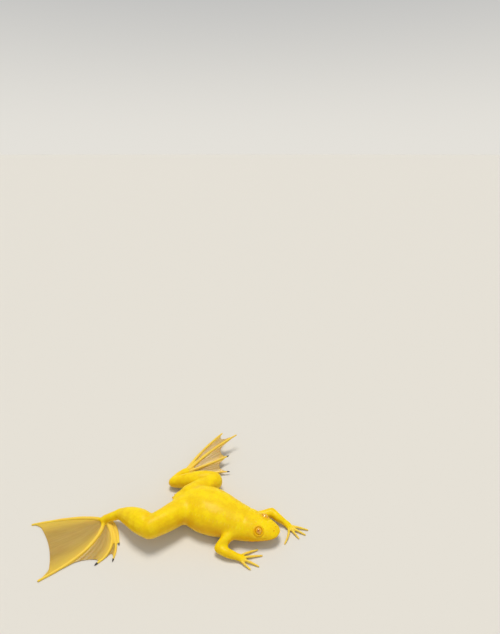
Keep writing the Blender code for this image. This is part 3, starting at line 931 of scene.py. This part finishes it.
def frog_skin():
    """Living skin, smooth and wet with slime: soft light under the surface and a thin clear gloss over it."""
    made, tree, shader = new_material("wet_frog_skin", 0.52, 1.4)
    place = add_node(tree, "ShaderNodeTexCoord").outputs["Object"]
    # Blotches about 9 mm across, and pores about 0.8 mm apart
    blotch = add_node(tree, "ShaderNodeTexNoise", Vector=place, Scale=110.0, Detail=4.0, Roughness=0.6)
    pores = add_node(tree, "ShaderNodeTexVoronoi", Vector=place, Scale=1250.0)
    grain = add_node(tree, "ShaderNodeTexNoise", Vector=place, Scale=700.0, Detail=3.0)
    colour = mix_colours(tree, spread(tree, blotch.outputs["Fac"], 0.36, 0.66), "F0C900", "FADB00")
    colour = mix_colours(tree, spread(tree, grain.outputs["Fac"], 0.48, 0.8, 0.0, 0.2), colour, "DDA000")
    # Orange round the lids and at the vent, and painted shade: more orange on the flanks and along the
    # mouth's groove
    colour = mix_colours(tree, value_of(tree, "orange_tint_and_shade"), colour, "E29000")
    # Painted shade darkens the mouth's groove most, towards brown; the vent gets its own reddish colour
    colour = mix_colours(tree, spread(tree, value_of(tree, "orange_tint_and_shade"), 0.7, 1.0, 0.0, 0.65), colour, "C8600A")
    colour = mix_colours(tree, spread(tree, value_of(tree, "pale"), 0.0, 1.0, 0.0, 0.7), colour, "EFCB62")
    # Painted shade in the creases, darker orange the deeper they are
    colour = mix_colours(tree, spread(tree, value_of(tree, "crease_shade"), 0.0, 1.0, 0.0, 0.5), colour, "C47E04")
    colour = mix_colours(tree, spread(tree, value_of(tree, "stitch"), 0.1, 0.9, 0.0, 0.2), colour, "F8E070")
    tree.links.new(colour, shader.inputs["Base Color"])
    shader.inputs["Subsurface Weight"].default_value = 0.25
    shader.inputs["Subsurface Radius"].default_value = (1.0, 0.62, 0.10)
    shader.inputs["Subsurface Scale"].default_value = 1.8 * MM
    shader.inputs["Specular IOR Level"].default_value = 0.2
    shader.inputs["Coat Weight"].default_value = 0.12
    shader.inputs["Coat Roughness"].default_value = 0.25
    pits = pores.outputs["Distance"]
    pitted = add_node(tree, "ShaderNodeBump", Height=pits, Strength=0.2, Distance=0.15 * MM)
    relief = {"Height": grain.outputs["Fac"], "Normal": pitted.outputs[0]}
    uneven = add_node(tree, "ShaderNodeBump", **relief, Strength=0.25, Distance=0.2 * MM)
    tree.links.new(uneven.outputs[0], shader.inputs["Normal"])
    return made


def web_skin():
    """Toe webbing: wet skin so thin that light passes through. Between the toes it is thinnest."""
    made, tree, shader = new_material("toe_webbing", 0.4, 1.4)
    across = add_node(tree, "ShaderNodeUVMap", {"uv_map": "UVMap"}).outputs[0]
    share = add_node(tree, "ShaderNodeSeparateXYZ", Vector=across).outputs["X"]
    from_middle = add_node(tree, "ShaderNodeMath", {"operation": "SUBTRACT"}, in_0=share, in_1=0.5).outputs[0]
    beside_toe = add_node(tree, "ShaderNodeMath", {"operation": "ABSOLUTE"}, in_0=from_middle).outputs[0]
    # Fine vessels about 1 mm apart run from root to free edge
    stretch = add_node(tree, "ShaderNodeMapping", Vector=across, Scale=(16.0, 1.2, 1.0))
    along = stretch.outputs[0]
    vessels = add_node(tree, "ShaderNodeTexNoise", Vector=along, Scale=2.2, Detail=4.0, Distortion=0.4)
    colour = mix_colours(tree, spread(tree, vessels.outputs["Fac"], 0.38, 0.66), "C9A544", "D4B250")
    colour = mix_colours(tree, spread(tree, beside_toe, 0.22, 0.48), colour, "E6C044")
    tree.links.new(colour, shader.inputs["Base Color"])
    shader.inputs["Subsurface Weight"].default_value = 0.6
    shader.inputs["Subsurface Radius"].default_value = (1.0, 0.75, 0.3)
    shader.inputs["Subsurface Scale"].default_value = 0.8 * MM
    tree.links.new(spread(tree, beside_toe, 0.10, 0.48, 0.55, 0.92), shader.inputs["Alpha"])
    shader.inputs["Coat Weight"].default_value = 0.3
    shader.inputs["Coat Roughness"].default_value = 0.2
    ridged = add_node(tree, "ShaderNodeBump", Height=vessels.outputs["Fac"], Strength=0.3, Distance=0.1 * MM)
    tree.links.new(ridged.outputs[0], shader.inputs["Normal"])
    return made


def eye_surface():
    """An albino's eye: a small orange-brown pupil in a golden iris, under a clear wet cornea."""
    made, tree, shader = new_material("albino_eye", 0.2, 1.376)
    gaze = value_of(tree, "gaze")
    place = add_node(tree, "ShaderNodeTexCoord").outputs["Object"]
    flecks = add_node(tree, "ShaderNodeTexNoise", Vector=place, Scale=1800.0, Detail=3.0)
    iris = mix_colours(tree, spread(tree, flecks.outputs["Fac"], 0.35, 0.7), "EAA608", "F4C018")
    iris = mix_colours(tree, spread(tree, gaze, 0.62, 0.92), iris, "DC9C0A")
    rim = mix_colours(tree, spread(tree, gaze, 0.18, 0.30), "BC7010", "E0940C")
    colour = mix_colours(tree, spread(tree, gaze, 0.30, 0.46), rim, iris)
    tree.links.new(colour, shader.inputs["Base Color"])
    shader.inputs["Coat Weight"].default_value = 1.0
    shader.inputs["Coat Roughness"].default_value = 0.03
    return made


def claw_horn():
    """Keratin: near-black with browner streaks, smooth and half glossy."""
    made, tree, shader = new_material("claw_keratin", 0.3, 1.54)
    place = add_node(tree, "ShaderNodeTexCoord").outputs["Object"]
    streaks = add_node(tree, "ShaderNodeTexNoise", Vector=place, Scale=2500.0, Detail=2.0)
    colour = mix_colours(tree, spread(tree, streaks.outputs["Fac"], 0.4, 0.7), "17110E", "33241A")
    tree.links.new(colour, shader.inputs["Base Color"])
    return made


def dress(pieces, material):
    for piece in pieces:
        piece.data.materials.clear()
        piece.data.materials.append(material)


dress([body], frog_skin())
dress(webs, web_skin())
dress(eyes, eye_surface())
dress(claws, claw_horn())


# Floor, light and camera
deselect()
bpy.ops.mesh.primitive_circle_add(vertices=128, radius=60.0, fill_type="NGON")
floor = bpy.context.object
floor.name = "floor"
floor_material, tree, shader = new_material("matt_painted_board", 0.9, 1.45)
shader.inputs["Base Color"].default_value = linear("DCD9D2")
floor.data.materials.append(floor_material)

# Soft light from all round, brightest near the horizon, where it meets the floor with hardly an edge
world = bpy.data.worlds.new("studio")
bpy.context.scene.world = world
world.use_nodes = True
sky = world.node_tree
way = add_node(sky, "ShaderNodeTexCoord").outputs["Generated"]
height = add_node(sky, "ShaderNodeSeparateXYZ", Vector=way).outputs["Z"]
shade = mix_colours(sky, spread(sky, height, 0.0, 0.5), "E4E1DA", "A3A6AA")
sky.links.new(shade, sky.nodes["Background"].inputs["Color"])
bpy.context.scene.view_settings.view_transform = "Standard"


def aim(obj, way):
    obj.rotation_euler = Vector(way).to_track_quat("-Z", "Y").to_euler()


def add_sun(name, way, strength, width, colour):
    """A sun this wide, in degrees, is as soft as a large lamp close by, and lights the whole floor alike."""
    light = bpy.data.lights.new(name, "SUN")
    light.energy = strength
    light.angle = math.radians(width)
    light.color = linear(colour)[:3]
    sun = bpy.data.objects.new(name, light)
    bpy.context.scene.collection.objects.link(sun)
    aim(sun, way)


add_sun("key", (0.10, -0.18, -0.80), 2.1, 24.0, "FFF9EE")
add_sun("fill", (-0.60, 0.75, -0.60), 0.35, 50.0, "F8F9FF")

# The camera stands where the photo was taken from: the level and the distance come from the photo's horizon
CAMERA_PLACE = (160.8, -250.1, 286.5)
CAMERA_AHEAD = Vector((-0.357, 0.934, 0.0)).normalized()
CAMERA_DOWN = math.atan(165.0 / 436.0)
FOCAL_PIXELS = 436.0
IMAGE_HEIGHT = 634.0
lens = bpy.data.cameras.new("camera")
lens.sensor_fit = "VERTICAL"
lens.sensor_height = 36.0
lens.lens = 36.0 * FOCAL_PIXELS / IMAGE_HEIGHT
lens.clip_start = 0.01
camera = bpy.data.objects.new("camera", lens)
bpy.context.scene.collection.objects.link(camera)
camera.location = at(*CAMERA_PLACE)
look = CAMERA_AHEAD * math.cos(CAMERA_DOWN) + Vector((0, 0, -math.sin(CAMERA_DOWN)))
aim(camera, look)
bpy.context.scene.camera = camera
